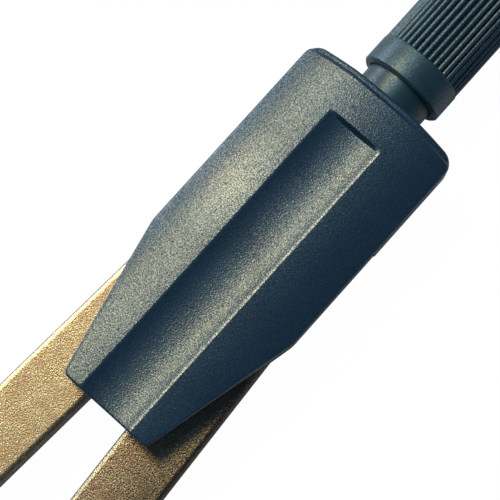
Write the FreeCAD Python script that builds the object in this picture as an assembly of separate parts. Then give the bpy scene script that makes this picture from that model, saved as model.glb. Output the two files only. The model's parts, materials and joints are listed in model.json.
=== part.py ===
import FreeCAD, Part
import math
import os

# A pair of geared dividers for drawing work, lying on its back with the legs a little open.
# All sizes are in millimetres. The work frame has X across the head, Y along the tool towards
# the handle and Z out of the front face, with its zero midway between the two leg pivots.
# The finished pieces are moved at the end so that the zero is under the middle of the tool.

# Head covers, seen from the front
head_width = 14.76
head_length = 32.83
head_end_width = 8.6
head_taper_length = 13.5
head_shoulder_drop = 0.5
head_top_corner = 1.0
head_taper_corner = 3.0
head_edge_round = 0.45
back_rim_bevel = 0.4
back_side_draft = 2.0

# Head covers, seen from the end
head_side_depth = 2.7
head_crown = 1.5
front_land_width = 3.4
top_step_width = 0.7
top_step_drop = 0.22
top_step_run = 0.12
top_ledge_angle = 12.0

# The long trough in the front cover
trough_width = 5.2
trough_depth = 0.6
trough_below_top = 3.75

# Leg pivots and the gear teeth that keep both legs at the same angle
pivot_below_top = 9.35
gear_module = 0.4
tooth_total = 16
pressure_angle = 20.0
tooth_addendum = 0.30
tooth_dedendum = 0.40
tooth_backlash = 0.08
teeth_above_line = 3
teeth_below_line = 2

# Legs
leg_width = 5.6
leg_thickness = 2.8
leg_length = 96.0
leg_straight = 30.0
leg_end_width = 4.2
leg_end_corner = 0.9
leg_edge_round = 0.45
leg_rest_angle = 3.7
leg_open_angle = 37.0

# Pivot bushes, washers, screws and threaded inserts
bush_radius = 1.5
bush_bore = 1.05
washer_thickness = 0.25
washer_radius = 2.6
screw_radius = 1.0
screw_head_radius = 1.8
screw_head_height = 0.9
insert_radius = 1.45
insert_length = 1.1
plate_under_head = 0.95

# Cover screws in the top of the head
cover_screw_x = 5.3
cover_screw_y = 7.0
cover_screw_radius = 0.8
cover_screw_head_radius = 1.35
cover_screw_depth = 1.9

# Handle: the stem that the head holds, the fluted grip and its end cap
neck_radius = 3.08
neck_show = 1.8
stem_radius = 2.2
stem_length = 14.0
stem_flange_radius = 2.9
stem_flange_height = 1.2
stem_foot_gap = 1.0
grip_length = 22.0
collar_radius = 3.77
collar_length = 2.55
collar_wall = 0.65
collar_lap = 0.8
rib_radius = 3.7
rib_depth = 0.3
rib_count = 40
rib_land_share = 0.35
rib_floor_share = 0.25
cap_radius = 3.1
cap_height = 0.9
cap_taper = 0.3
cap_plug_length = 3.0

# Needles and the thumb screws that clamp them
needle_radius = 0.5
needle_length = 26.0
needle_point = 2.5
needle_tip_radius = 0.05
needle_reach = 16.0
needle_adjust = 2.0
needle_gap_closed = 0.8
needle_inset = 1.45
clamp_above_end = 6.0
clamp_radius = 0.8
clamp_head_radius = 2.2
clamp_head_height = 2.4
clamp_head_gap = 0.3
clamp_knurls = 16
clamp_knurl_depth = 0.12

# Clearances between the pieces
running_fit = 0.03
side_fit = 0.05
assembly_fit = 0.02
cavity_gap = 0.3
hole_gap = 0.15

# Places that follow from the sizes above
pitch_radius = gear_module * tooth_total / 2
tip_radius = pitch_radius + tooth_addendum
root_radius = pitch_radius - tooth_dedendum
pivot_x = pitch_radius
head_top = pivot_below_top
head_bottom = head_top - head_length
head_half_depth = head_side_depth + head_crown
slot_half = leg_thickness / 2 + washer_thickness + side_fit
cavity_top = tip_radius + cavity_gap
wall_inside = pivot_x + leg_width / 2 + cavity_gap
collar_bottom = head_top + neck_show
grip_top = collar_bottom + grip_length
far = head_width
X_AXIS = FreeCAD.Vector(1, 0, 0)
Y_AXIS = FreeCAD.Vector(0, 1, 0)
Z_AXIS = FreeCAD.Vector(0, 0, 1)


def point(x, y, z=0.0):
    return FreeCAD.Vector(x, y, z)


def rounded_wire(corners, radii):
    """A closed outline through the corners, each rounded by a tangent arc of its own radius."""
    count = len(corners)
    starts = []
    middles = []
    ends = []
    for i in range(count):
        corner = point(*corners[i])
        before = point(*corners[i - 1]) - corner
        after = point(*corners[(i + 1) % count]) - corner
        before.normalize()
        after.normalize()
        half = before.getAngle(after) / 2
        if radii[i] == 0:
            starts.append(corner)
            middles.append(None)
            ends.append(corner)
            continue
        run = radii[i] / math.tan(half)
        inward = before + after
        inward.normalize()
        centre = corner + inward * (radii[i] / math.sin(half))
        starts.append(corner + before * run)
        middles.append(centre - inward * radii[i])
        ends.append(corner + after * run)
    edges = []
    for i in range(count):
        if middles[i] is not None:
            edges.append(Part.Arc(starts[i], middles[i], ends[i]).toShape())
        edges.append(Part.makeLine(ends[i], starts[(i + 1) % count]))
    return Part.Wire(edges)


def slab(wire, low, high):
    """The area inside a flat outline, made solid from height low to height high."""
    face = Part.Face(wire)
    face.translate(point(0, 0, low))
    return face.extrude(point(0, 0, high - low))


def upright(x, y, low, high, radius):
    """A round bar along Z."""
    return Part.makeCylinder(radius, high - low, point(x, y, low), Z_AXIS)


def along(low, high, radius, x=0.0, z=0.0):
    """A round bar along Y."""
    return Part.makeCylinder(radius, high - low, point(x, low, z), Y_AXIS)


def turned_profile(corners):
    """A solid of revolution about the Y axis through (radius, y) corners."""
    wire = Part.makePolygon([point(r, y) for r, y in corners + corners[:1]])
    return Part.Face(wire).revolve(point(0, 0), Y_AXIS, 360)


def mirrored_outline(right, radii):
    """A closed outline from the corners of its right half, from the bottom upwards."""
    left = [(-x, y) for x, y in reversed(right)]
    return rounded_wire(right + left, radii + radii[::-1])


def head_outline(inset=0.0):
    """The head's outline, with its sides moved inwards by an inset."""
    half = head_width / 2 - inset
    taper = head_bottom + head_taper_length
    corner = head_top - head_shoulder_drop
    right = [(head_end_width / 2 - inset, head_bottom), (half, taper), (half, corner),
             (neck_radius, head_top)]
    return mirrored_outline(right, [0, head_taper_corner, head_top_corner, 0])


def open_top_outline():
    """The head's outline with its sides carried on past the top end."""
    half = head_width / 2
    taper = head_bottom + head_taper_length
    right = [(head_end_width / 2, head_bottom), (half, taper), (half, head_top + 1)]
    return mirrored_outline(right, [0, head_taper_corner, 0])


def slope_height(x):
    """How far the front's slope stands from the middle plane, at a distance x to the side."""
    land = front_land_width / 2
    return head_half_depth - head_crown * (x - land) / (head_width / 2 - land)


def crown_bar():
    """The front cover's cross-section as a long bar: a middle land and a slope on each side."""
    half = head_width / 2
    low = head_bottom - 1
    right = [(half, 0), (half, head_side_depth), (front_land_width / 2, head_half_depth)]
    left = [(-x, z) for x, z in reversed(right)]
    corners = [point(x, low, z) for x, z in right + left + right[:1]]
    return Part.Face(Part.makePolygon(corners)).extrude(point(0, head_length + 3))


def top_step_cutter():
    """The room above the step and the sloping ledge along the head's top end."""
    low = head_top - head_shoulder_drop - top_step_width
    ledge = head_half_depth - top_step_drop
    out = head_top + 1
    fall = (out - low - top_step_run) * math.tan(math.radians(top_ledge_angle))
    corners = [(low, head_half_depth), (out, head_half_depth), (out, ledge - fall),
               (low + top_step_run, ledge)]
    wire = Part.makePolygon([point(-far, y, z) for y, z in corners + corners[:1]])
    return Part.Face(wire).extrude(point(2 * far, 0, 0))


def rim_edges(form):
    """The edges round the outer face, without the upright ones and the ridges of the land."""
    chosen = []
    for edge in form.Edges:
        ends = [vertex.Point for vertex in edge.Vertexes]
        raised = min(abs(spot.z) for spot in ends) > head_side_depth / 2
        on_land = abs(abs(ends[0].x) - front_land_width / 2) < 0.001
        ridge = on_land and abs(ends[0].x - ends[-1].x) < 0.001
        past_top = min(spot.y for spot in ends) > head_top
        if raised and not ridge and not past_top:
            chosen.append(edge)
    return chosen


def leg_cavity(sign):
    """The room for the legs inside one cover: a gear well that opens downwards and sideways."""
    angle = math.radians(leg_open_angle)
    reach = leg_width / 2 + cavity_gap
    outside = head_width / 2 + 1

    def shoulder(x):
        travel = (x - pivot_x - reach * math.cos(angle)) / math.sin(angle)
        return reach * math.sin(angle) - travel * math.cos(angle)

    right = [(outside, head_bottom - 1), (outside, shoulder(outside)),
             (wall_inside, shoulder(wall_inside))]
    left = [(-x, y) for x, y in reversed(right)]
    corners = [point(x, y) for x, y in right + left + right[:1]]
    low, high = sorted((0.0, slot_half * sign))
    room = slab(Part.makePolygon(corners), low, high)
    well = Part.makeBox(2 * pivot_x, cavity_top, high - low, point(-pivot_x, 0, low))
    rounds = [upright(side * pivot_x, 0, low, high, reach) for side in (-1, 1)]
    return room.multiFuse([well] + rounds)


def stem_pocket():
    """The seat of the stem's flanged foot, shared by both covers."""
    foot_low = cavity_top + stem_foot_gap
    shaft = along(foot_low, head_top + 1, stem_radius + assembly_fit)
    foot = along(foot_low - assembly_fit, foot_low + stem_flange_height + assembly_fit,
                 stem_flange_radius + assembly_fit)
    return shaft.fuse(foot)


def trough():
    half = trough_width / 2
    radius = (half ** 2 + trough_depth ** 2) / (2 * trough_depth)
    centre = slope_height(half) - trough_depth + radius
    return along(head_bottom - 1, head_top - trough_below_top, radius, 0, centre)


def make_front_cover():
    form = slab(open_top_outline(), 0, head_half_depth + 1).common(crown_bar())
    cover = form.makeFillet(head_edge_round, rim_edges(form))
    cover = cover.common(slab(head_outline(), 0, head_half_depth + 1)).cut(top_step_cutter())
    cuts = [leg_cavity(1), stem_pocket(), trough()]
    for side in (-1, 1):
        cuts.append(upright(side * pivot_x, 0, slot_half - 0.1,
                            slot_half + insert_length + assembly_fit, insert_radius + assembly_fit))
        cuts.append(upright(side * cover_screw_x, cover_screw_y, -0.1,
                            cover_screw_depth + hole_gap, cover_screw_radius + assembly_fit))
    return cover.cut(cuts[0]).cut(cuts[1]).cut(cuts[2:])


def make_back_cover():
    narrowing = head_half_depth * math.tan(math.radians(back_side_draft))
    back = head_outline(narrowing).translated(point(0, 0, -head_half_depth))
    form = Part.makeLoft([back, head_outline()], True, True)
    cover = form.makeChamfer(back_rim_bevel, rim_edges(form))
    seat = -slot_half - plate_under_head
    cuts = [leg_cavity(-1), stem_pocket()]
    for side in (-1, 1):
        x = side * pivot_x
        cuts.append(upright(x, 0, -head_half_depth - 1, 0, screw_radius + side_fit))
        cuts.append(upright(x, 0, -head_half_depth - 1, seat, screw_head_radius + hole_gap))
        x = side * cover_screw_x
        cuts.append(upright(x, cover_screw_y, -head_half_depth - 1, 0.1,
                            cover_screw_radius + side_fit))
        cuts.append(upright(x, cover_screw_y, -head_half_depth - 1, seat,
                            cover_screw_head_radius + hole_gap))
    return cover.cut(cuts[0]).cut(cuts[1]).cut(cuts[2:])


def make_stem():
    foot_low = cavity_top + stem_foot_gap
    foot_high = foot_low + stem_flange_height
    neck_high = collar_bottom + collar_lap - assembly_fit
    stem_high = neck_high + stem_length
    return turned_profile([(0, foot_low), (stem_flange_radius, foot_low),
                           (stem_flange_radius, foot_high), (stem_radius, foot_high),
                           (stem_radius, head_top), (neck_radius, head_top),
                           (neck_radius, neck_high), (stem_radius, neck_high),
                           (stem_radius, stem_high), (0, stem_high)])


def rib_outline():
    """The fluted section of the grip: flat-topped ribs with a floor between them."""
    pitch = 2 * math.pi / rib_count
    floor = rib_radius - rib_depth
    land = pitch * rib_land_share / 2
    root = pitch * (1 - rib_floor_share) / 2
    corners = []
    for i in range(rib_count):
        middle = i * pitch
        for angle, radius in ((-root, floor), (-land, rib_radius), (land, rib_radius), (root, floor)):
            turn = middle + angle
            corners.append(point(radius * math.cos(turn), 0, radius * math.sin(turn)))
    return Part.makePolygon(corners + corners[:1])


def make_grip():
    ribs_low = collar_bottom + collar_length
    ribs = Part.Face(rib_outline()).extrude(point(0, grip_top - ribs_low, 0))
    ribs.translate(point(0, ribs_low, 0))
    collar = along(collar_bottom, ribs_low, collar_radius)
    lap = along(collar_bottom - 1, collar_bottom + collar_lap, collar_radius - collar_wall)
    bore = along(collar_bottom - 1, grip_top + 1, stem_radius + assembly_fit)
    return collar.fuse(ribs).cut(lap).cut(bore)


def make_end_cap():
    """A low tapered button whose plug closes the bore of the grip."""
    plug_low = grip_top - cap_plug_length
    return turned_profile([(0, plug_low), (stem_radius, plug_low), (stem_radius, grip_top),
                           (cap_radius, grip_top),
                           (cap_radius - cap_taper, grip_top + cap_height),
                           (0, grip_top + cap_height)])


def tooth_profile(middle):
    """One gear tooth, its flanks arcs through three points of the involute, as a flat outline."""
    base = pitch_radius * math.cos(math.radians(pressure_angle))
    thickness = math.pi * gear_module / 2 - tooth_backlash / 2
    half_at_pitch = thickness / pitch_radius / 2
    lean = math.tan(math.radians(pressure_angle)) - math.radians(pressure_angle)

    def half_angle(radius):
        slope = math.acos(min(1.0, base / radius))
        return half_at_pitch + lean - (math.tan(slope) - slope)

    def at(radius, side):
        turn = middle + side * half_angle(radius)
        return point(radius * math.cos(turn), radius * math.sin(turn))

    halfway = (base + tip_radius) / 2
    inside = root_radius - tooth_addendum
    foot = half_angle(base)
    edges = []
    for side in (-1, 1):
        low_turn = middle + side * foot
        low = point(inside * math.cos(low_turn), inside * math.sin(low_turn))
        edges.append(Part.makeLine(low, at(base, side)))
        edges.append(Part.Arc(at(base, side), at(halfway, side), at(tip_radius, side)).toShape())
    crest = point(tip_radius * math.cos(middle), tip_radius * math.sin(middle))
    edges.append(Part.Arc(at(tip_radius, -1), crest, at(tip_radius, 1)).toShape())
    lows = [edges[0].Vertexes[0].Point, edges[2].Vertexes[0].Point]
    edges.append(Part.makeLine(lows[0], lows[1]))
    return Part.Wire(Part.__sortEdges__(edges))


def leg_outline(inner, corner):
    """The leg below its round head. The edge towards the other leg is straight."""
    half = leg_width / 2
    outer = -inner
    end_outer = outer * (leg_end_width - half)
    corners = [(inner * half, 0), (inner * half, -leg_length), (end_outer, -leg_length),
               (outer * half, -leg_straight), (outer * half, 0)]
    return rounded_wire(corners, [0, corner, corner, 0, 0])


def needle_lean():
    """How far the needle leans inwards, so that the points nearly meet when the legs close."""
    rise = needle_inset - needle_gap_closed / 2
    return math.atan2(rise, needle_reach)


def needle_bar(inner, low, high, radius, tip=0.0):
    """A round bar on the needle's own axis, from low to high above the leg's end, in leg frame."""
    lean = needle_lean()
    direction = point(-inner * math.sin(lean), math.cos(lean))
    middle = point(inner * (pivot_x - needle_inset), -leg_length)
    start = middle + direction * low
    if tip:
        rings = [Part.Wire(Part.makeCircle(tip, start, direction)),
                 Part.Wire(Part.makeCircle(radius, start + direction * (high - low), direction))]
        return Part.makeLoft(rings, True, True)
    return Part.makeCylinder(radius, high - low, start, direction)


def clamp_inner_end():
    """The distance from the needle's axis at which the thumb screw's tip stops."""
    return needle_radius + side_fit


def clamp_axis_x(inner):
    """Where the needle's axis crosses the thumb screw's axis."""
    return inner * (pivot_x - needle_inset - clamp_above_end * math.tan(needle_lean()))


def leg_outer_edge(y):
    """The outer edge's distance from the leg's middle line, at height y of the leg frame."""
    half = leg_width / 2
    if y > -leg_straight:
        return half
    share = (-y - leg_straight) / (leg_length - leg_straight)
    return half + (leg_end_width - leg_width) * share


def make_leg(inner, phase):
    half = leg_thickness / 2
    body = slab(leg_outline(inner, 0), -half, half)
    long_edges = [edge for edge in body.Edges if edge.Length > 2 * leg_width]
    body = body.makeFillet(leg_edge_round, long_edges)
    body = body.common(slab(leg_outline(inner, leg_end_corner), -half, half))
    pieces = [upright(0, 0, -half, half, root_radius)]
    pitch = 2 * math.pi / tooth_total
    towards = math.pi if inner < 0 else 0.0
    turn = -1 if inner < 0 else 1
    for step in range(-teeth_below_line, teeth_above_line + 1):
        middle = towards + turn * pitch * (step + phase)
        pieces.append(slab(tooth_profile(middle), -half, half))
    leg = body.multiFuse(pieces).removeSplitter()
    cuts = [upright(0, 0, -half - 1, half + 1, bush_radius + running_fit)]
    cuts.append(needle_bar(inner, -1, needle_length - needle_reach + needle_adjust + cavity_gap,
                           needle_radius + running_fit))
    cross = clamp_axis_x(inner)
    low = point(cross, -leg_length + clamp_above_end)
    cuts.append(Part.makeCylinder(clamp_radius + side_fit, leg_width, low, X_AXIS * -inner))
    return leg.cut(cuts)


def make_needle(inner):
    length = needle_length - needle_point
    top = needle_length - needle_reach
    shank = needle_bar(inner, top - length, top, needle_radius)
    point_cone = needle_bar(inner, -needle_reach, top - length, needle_radius, needle_tip_radius)
    return shank.fuse(point_cone)


def make_clamp_screw(inner):
    outer = -inner
    y = -leg_length + clamp_above_end
    start = clamp_axis_x(inner) + outer * clamp_inner_end()
    widest = leg_outer_edge(y + clamp_head_radius)
    seat = outer * (widest + clamp_head_gap)
    shank = Part.makeCylinder(clamp_radius, abs(seat - start), point(start, y), X_AXIS * outer)
    corners = []
    for i in range(2 * clamp_knurls):
        turn = math.pi * i / clamp_knurls
        radius = clamp_head_radius - (clamp_knurl_depth if i % 2 else 0)
        corners.append(point(seat, y + radius * math.cos(turn), radius * math.sin(turn)))
    head = Part.Face(Part.makePolygon(corners + corners[:1]))
    head = head.extrude(point(outer * clamp_head_height, 0, 0))
    return shank.fuse(head)


def make_pivot_bush(x):
    tube = upright(x, 0, -slot_half, slot_half, bush_radius)
    return tube.cut(upright(x, 0, -slot_half - 1, slot_half + 1, bush_bore))


def make_washer(x, sign):
    low, high = sorted((sign * slot_half, sign * (slot_half - washer_thickness)))
    ring = upright(x, 0, low, high, washer_radius)
    return ring.cut(upright(x, 0, low - 1, high + 1, bush_radius + side_fit))


def make_pivot_screw(x):
    seat = -slot_half - plate_under_head
    crown = seat - screw_head_height
    shank = upright(x, 0, seat, slot_half + insert_length, screw_radius)
    return shank.fuse(upright(x, 0, crown, seat, screw_head_radius))


def make_insert(x):
    nut = upright(x, 0, slot_half, slot_half + insert_length, insert_radius)
    return nut.cut(upright(x, 0, slot_half - 1, slot_half + insert_length + 1,
                           screw_radius + assembly_fit))


def make_cover_screw(x):
    seat = -slot_half - plate_under_head
    crown = seat - screw_head_height
    shank = upright(x, cover_screw_y, seat, cover_screw_depth, cover_screw_radius)
    return shank.fuse(upright(x, cover_screw_y, crown, seat, cover_screw_head_radius))


def swing(shape, side):
    """Puts a piece from the leg frame on its pivot, at the angle that the legs rest at."""
    turned = shape.copy()
    turned.rotate(point(0, 0), Z_AXIS, side * leg_rest_angle)
    turned.translate(point(side * pivot_x, 0))
    return turned


def rest_tip_y():
    """The height of the needle points along the tool, with the legs at rest."""
    lean = needle_lean()
    x = -(pivot_x - needle_inset) - needle_reach * math.sin(lean)
    y = -leg_length - needle_reach * math.cos(lean)
    rest = math.radians(leg_rest_angle)
    return x * math.sin(rest) + y * math.cos(rest)


def build_nodes():
    nodes = {
        "head_front_cover": make_front_cover(),
        "head_back_cover": make_back_cover(),
        "neck_stem": make_stem(),
        "handle_grip": make_grip(),
        "handle_end_cap": make_end_cap(),
        "cover_screws": Part.makeCompound([make_cover_screw(-cover_screw_x),
                                           make_cover_screw(cover_screw_x)]),
    }
    for name, side in (("left", -1), ("right", 1)):
        inner = -side
        phase = 0.5 if side < 0 else 0.0
        nodes[name + "_leg"] = swing(make_leg(inner, phase), side)
        nodes[name + "_needle"] = swing(make_needle(inner), side)
        nodes[name + "_clamp_screw"] = swing(make_clamp_screw(inner), side)
        x = side * pivot_x
        nodes[name + "_pivot_bush"] = make_pivot_bush(x)
        nodes[name + "_pivot_screw"] = make_pivot_screw(x)
        nodes[name + "_threaded_insert"] = make_insert(x)
        nodes[name + "_slide_washer"] = make_washer(x, 1)
        nodes[name + "_spring_washer"] = make_washer(x, -1)
    return nodes


def main():
    os.makedirs("parts", exist_ok=True)
    top = grip_top + cap_height
    shift = point(0, -(top + rest_tip_y()) / 2, head_half_depth)
    for name, shape in build_nodes().items():
        shape.translate(shift)
        shape.exportStep("parts/" + name + ".step")
        print(name, len(shape.Solids), shape.isValid(), round(shape.Volume, 2))
    print("pivots at y", round(shift.y, 4), "z", shift.z)


main()
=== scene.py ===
import json
import math

import bmesh
import bpy
import numpy as np
from bpy.props import FloatProperty, FloatVectorProperty, IntProperty, PointerProperty
from mathutils import Matrix, Vector
from mathutils.geometry import delaunay_2d_cdt


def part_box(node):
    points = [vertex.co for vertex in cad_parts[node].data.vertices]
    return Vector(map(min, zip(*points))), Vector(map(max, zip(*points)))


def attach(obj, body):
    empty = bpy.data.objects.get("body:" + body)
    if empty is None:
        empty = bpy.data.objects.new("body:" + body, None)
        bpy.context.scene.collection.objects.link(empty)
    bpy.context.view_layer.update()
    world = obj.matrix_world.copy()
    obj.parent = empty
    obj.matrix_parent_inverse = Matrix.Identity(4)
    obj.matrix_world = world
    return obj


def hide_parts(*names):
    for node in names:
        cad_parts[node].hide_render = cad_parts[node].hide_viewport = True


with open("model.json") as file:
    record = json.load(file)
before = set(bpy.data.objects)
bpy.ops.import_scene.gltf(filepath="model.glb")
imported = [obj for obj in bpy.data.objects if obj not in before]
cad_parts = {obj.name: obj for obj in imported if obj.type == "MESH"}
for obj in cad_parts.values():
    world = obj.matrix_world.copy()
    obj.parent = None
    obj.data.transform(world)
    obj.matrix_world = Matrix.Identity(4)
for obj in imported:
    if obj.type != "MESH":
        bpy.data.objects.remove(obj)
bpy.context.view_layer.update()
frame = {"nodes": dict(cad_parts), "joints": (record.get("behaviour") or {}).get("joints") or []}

bl_info = {
    "name": "Geared drafting divider",
    "version": (1, 0, 0),
    "blender": (4, 5, 0),
    "location": "3D View > Sidebar > Divider",
    "description": "Dresses the fixed frame of a drafting divider with its visible pieces",
    "category": "Object",
}

MM = 0.001
SIDES = {"left": -1, "right": 1}
CORNERS = ((-1, -1), (1, -1), (1, 1), (-1, 1))

# Steps round a turned piece and round a screw, and the angle from which an edge stays sharp.
TURN_STEPS = 96
SCREW_STEPS = 72
SHARP_EDGE = math.radians(35)
# Vertices that are closer than this become one.
WELD = 1e-7
# How far a cutter reaches past what it cuts, and the room between two pieces that meet.
OVERCUT = 1.0 * MM
FIT = 0.02 * MM
# The covers' mesh: steps of the outline, of the rounded rim and of the room for the legs, where
# the sides get two more rows of vertices, how far the grid inside stays from the rim, and how
# close its points lie, elsewhere and near the trough's and the ledge's edges.
OUTLINE_TURN = math.radians(6)
OUTLINE_STEP = 0.2 * MM
RIM_STEPS = 8
ROOM_STEPS = 12
SIDE_SHARES = (0.35, 0.7)
GRID_MARGIN = 0.07 * MM
FRONT_COLUMNS = {"coarse": 0.2 * MM, "near": 0.22 * MM, "fine": 0.03 * MM}
FRONT_ROWS = {"coarse": 0.3 * MM, "near": 0.25 * MM, "fine": 0.035 * MM}
BACK_GRID = 1.0 * MM
# The slope of the trough's end wall, and how far inside the ledge its step starts.
END_WALL = math.radians(86)
LEDGE_LEAD = 0.1 * MM
# How much the foot and the top of the ledge's step and of the trough's walls are rounded.
LEDGE_BLENDS = (0.03 * MM, 0.05 * MM)
TROUGH_BLENDS = (0.04 * MM, 0.02 * MM)
# How deep a rib starts in the collar and where it stops below the grip's end, and the share of
# the pitch that a knurl fills.
RIB_SINK = 0.05 * MM
RIB_STOP = 0.3 * MM
KNURL_SHARE = 0.8
# The thumb screws' dimples and the screws' domes, as shares of their heads, and the shanks.
DIMPLE_RIM = 0.62
DIMPLE_FLOOR = 0.55
DOME_WIDTH = 0.94
DOME_FALL = 0.7
PIVOT_SHANK = 1.0 * MM
COVER_SHANK = 0.8 * MM

# Scales of the noise textures, in cells to the metre.
GRAIN_SCALE = 7500.0
FINER_SCALE = 1.3 * GRAIN_SCALE
FINEST_SCALE = 1.5 * GRAIN_SCALE
PLASTIC_PATCH_SCALE = 260.0
LEG_PATCH_SCALE = 700.0
LINE_SCALE = 2500.0
NYLON_CLOUD_SCALE = 800.0
# How the lines on turned metal are drawn out along X, and how deep they are.
LINE_STRETCH = (1.0, 6.0, 6.0)
LINE_DEPTH = 0.002 * MM
# Ranges of a noise's values that are spread out: nearly all, the middle ones, the upper ones.
BROAD = (0.3, 0.7)
SPECKLED = (0.36, 0.64)
PATCHED = (0.42, 0.62)
# The spot on the front where a painted highlight makes the film shine more, how far it reaches and
# how much it shines.
PAINTED_HOT_SPOT = (-4.2 * MM, 35.3 * MM, 7.6 * MM)
HOT_SPOT_REACH = 5.0 * MM
HOT_SPOT_GAIN = 1.7
# The plastics' soft sheen is tinted with a painted bluish sky reflection.
PAINTED_SKY_REFLECTION = (0.34, 0.70, 1.0)
# The legs' patches, and the painted highlight on the edges that face the lamps: the normals
# between which it starts.
PATCH_TINT = (0.82, 0.66, 0.66)
PATCH_SHARE = 0.6
PAINTED_EDGE_HIGHLIGHT = (0.55, 0.50, 0.40)
EDGE_HIGHLIGHT_SHARE = 0.85
EDGE_LEFTWARDS = (-0.12, -0.4)
EDGE_UPWARDS = (0.45, 0.7)
# The right leg: the tint of its painted shade and its coarser grain, and from where to where
# across the tool the painted shade darkens it.
PAINTED_SHADE_TINT = (1.04, 1.0, 1.05)
SHADED_GRAIN = 2.1
PAINTED_SHADE_SIDE = (3.0 * MM, 6.5 * MM)
NYLON_DARK = (0.62, 0.60, 0.54)
NYLON_PALE = (0.76, 0.75, 0.70)

WHITE = (1.0, 1.0, 1.0, 1.0)
FLOOR_REACH = 1.5
FLOOR_PAINT = (0.36, 0.42, 0.5, 1.0)
FLOOR_GLOW = 1.06
# How much of the floor's own light the camera and shiny pieces see.
SEEN_SHARE = 0.93
MIRRORED_SHARE = 0.08
SKY_TINT = (0.42, 0.70, 1.0, 1.0)
BACKDROP_GLOW = 1.04
# Each lamp's place in metres, its length beside the others' and its colour.
LAMPS = {
    "key": ((-0.195, 0.062, 0.29), 1, (1.0, 0.865, 0.52)),
    "sky": ((-0.115, 0.15, 0.32), 1, (0.46, 0.76, 1.0)),
    "side": ((-0.30, 0.05, 0.025), 2, (0.90, 0.97, 1.0)),
}
SENSOR_WIDTH = 36.0
NEAR_CLIP = 0.005


def joint_named(name):
    """A joint of the frame."""
    for joint in frame["joints"]:
        if joint["name"] == name:
            return joint
    raise ValueError("the frame has no joint named " + name)


def joint_place(name):
    """Where a joint of the frame stands at rest."""
    return Vector(joint_named(name)["pos_m"])


HEAD_LOW, HEAD_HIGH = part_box("head_front_cover")
BACK_LOW, BACK_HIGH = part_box("head_back_cover")
STEM_LOW, STEM_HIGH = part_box("neck_stem")
GRIP_LOW, GRIP_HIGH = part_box("handle_grip")
CAP_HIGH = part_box("handle_end_cap")[1]
PIVOT = joint_place("right_leg_open")
MIDDLE_Z = HEAD_LOW.z


# Settings that a user would change; lengths are given in millimetres and angles in degrees

def number(name, description, default, **limits):
    return FloatProperty(name=name, description=description, default=default, **limits)


def length(name, description, millimetres):
    return number(name, description, millimetres * MM, unit="LENGTH", precision=6)


def angle(name, description, degrees):
    return number(name, description, math.radians(degrees), unit="ROTATION")


def colouring(name, description, colour):
    return FloatVectorProperty(name=name, description=description, default=colour,
                               subtype="COLOR", min=0.0, max=1.0)


class HeadSettings(bpy.types.PropertyGroup):
    """Sizes and colour of the two moulded covers"""

    crown: length("Crown", "How far the front bulges between its sides", 1.58)
    crown_turn: number(
        "Crown turn", "Share of the bulge that falls close to the sides", 0.33, min=0.0, max=1.0)
    edge_round: length("Edge rounding", "Radius of the rim round the front", 0.2)
    back_round: length("Back rounding", "Radius of the rim round the back", 0.4)
    back_draft: angle("Back draft", "Angle at which the back cover narrows to the back", 5)
    end_width: length("Lower end width", "Width of the head where the legs come out", 8.6)
    taper_length: length("Taper length", "Length over which the head narrows downwards", 13.5)
    shoulder_drop: length("Shoulder drop", "How far the top end falls from neck to corner", 0.3)
    top_corner: length("Top corner", "Radius of the two corners beside the neck", 1.3)
    taper_corner: length("Taper corner", "Radius where the sides turn into the tapers", 3.0)
    end_corner: length("Lower corner", "Radius of the two corners at the lower end", 0.6)
    ledge_width: length("Ledge width", "Width of the sloping ledge along the top end", 0.6)
    ledge_step: length("Ledge step", "Height of the step down to the ledge", 0.28)
    ledge_wall: angle("Ledge wall", "Angle of the step's wall to the front", 52)
    ledge_slope: angle("Ledge slope", "Angle at which the ledge falls outwards", 6)
    trough_width: length("Trough width", "Width of the long trough", 5.2)
    trough_depth: length("Trough depth", "Depth of the trough without its turn", 0.4)
    rim_lift: length("Rim lift", "How much the trough's rims are raised by a gentler slope", 0.05)
    rim_run: length("Rim run", "Width of the gentler slope inside the trough's rims", 0.16)
    # Painted highlight on the strip along the trough's right rim.
    rim_highlight_gain: number(
        "Rim shine", "How many times shinier the rubbed right rim is", 1.75, min=1.0, max=5.0)
    trough_turn: length(
        "Trough turn", "Depth that the floor gains in its steeper parts close to the rims", 0.2)
    trough_below_top: length(
        "Trough start", "Distance from the top end to the trough's end wall", 3.75)
    seam: length("Seam", "Depth of the groove where the two covers meet", 0.04)
    colour: colouring("Colour", "Colour of the moulded plastic", (0.0065, 0.0225, 0.055))
    grain: length("Grain depth", "Depth of the spark-eroded grain", 0.035)


class RoomSettings(bpy.types.PropertyGroup):
    """Sizes of the room inside the head, in which the legs turn"""

    leg_width: length("Leg width", "Width of a leg", 5.6)
    gap: length("Gap", "Room beside the legs", 0.3)
    half_height: length("Half height", "Half the height of the room", 1.7)
    gear_radius: length("Gear radius", "Radius over the teeth of a leg", 3.5)
    pivot_head: length("Pivot screw head", "Radius of the pivot screws' heads", 1.8)
    cover_head: length("Cover screw head", "Radius of the two upper screws' heads", 1.35)
    screw_gap: length("Screw gap", "Room round a screw's head", 0.15)
    screw_seat: length("Screw seat", "Depth below the middle plane at which the heads sit", 2.65)
    open_angle: angle("Open angle", "Angle between a fully open leg and the middle line", 37)


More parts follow.
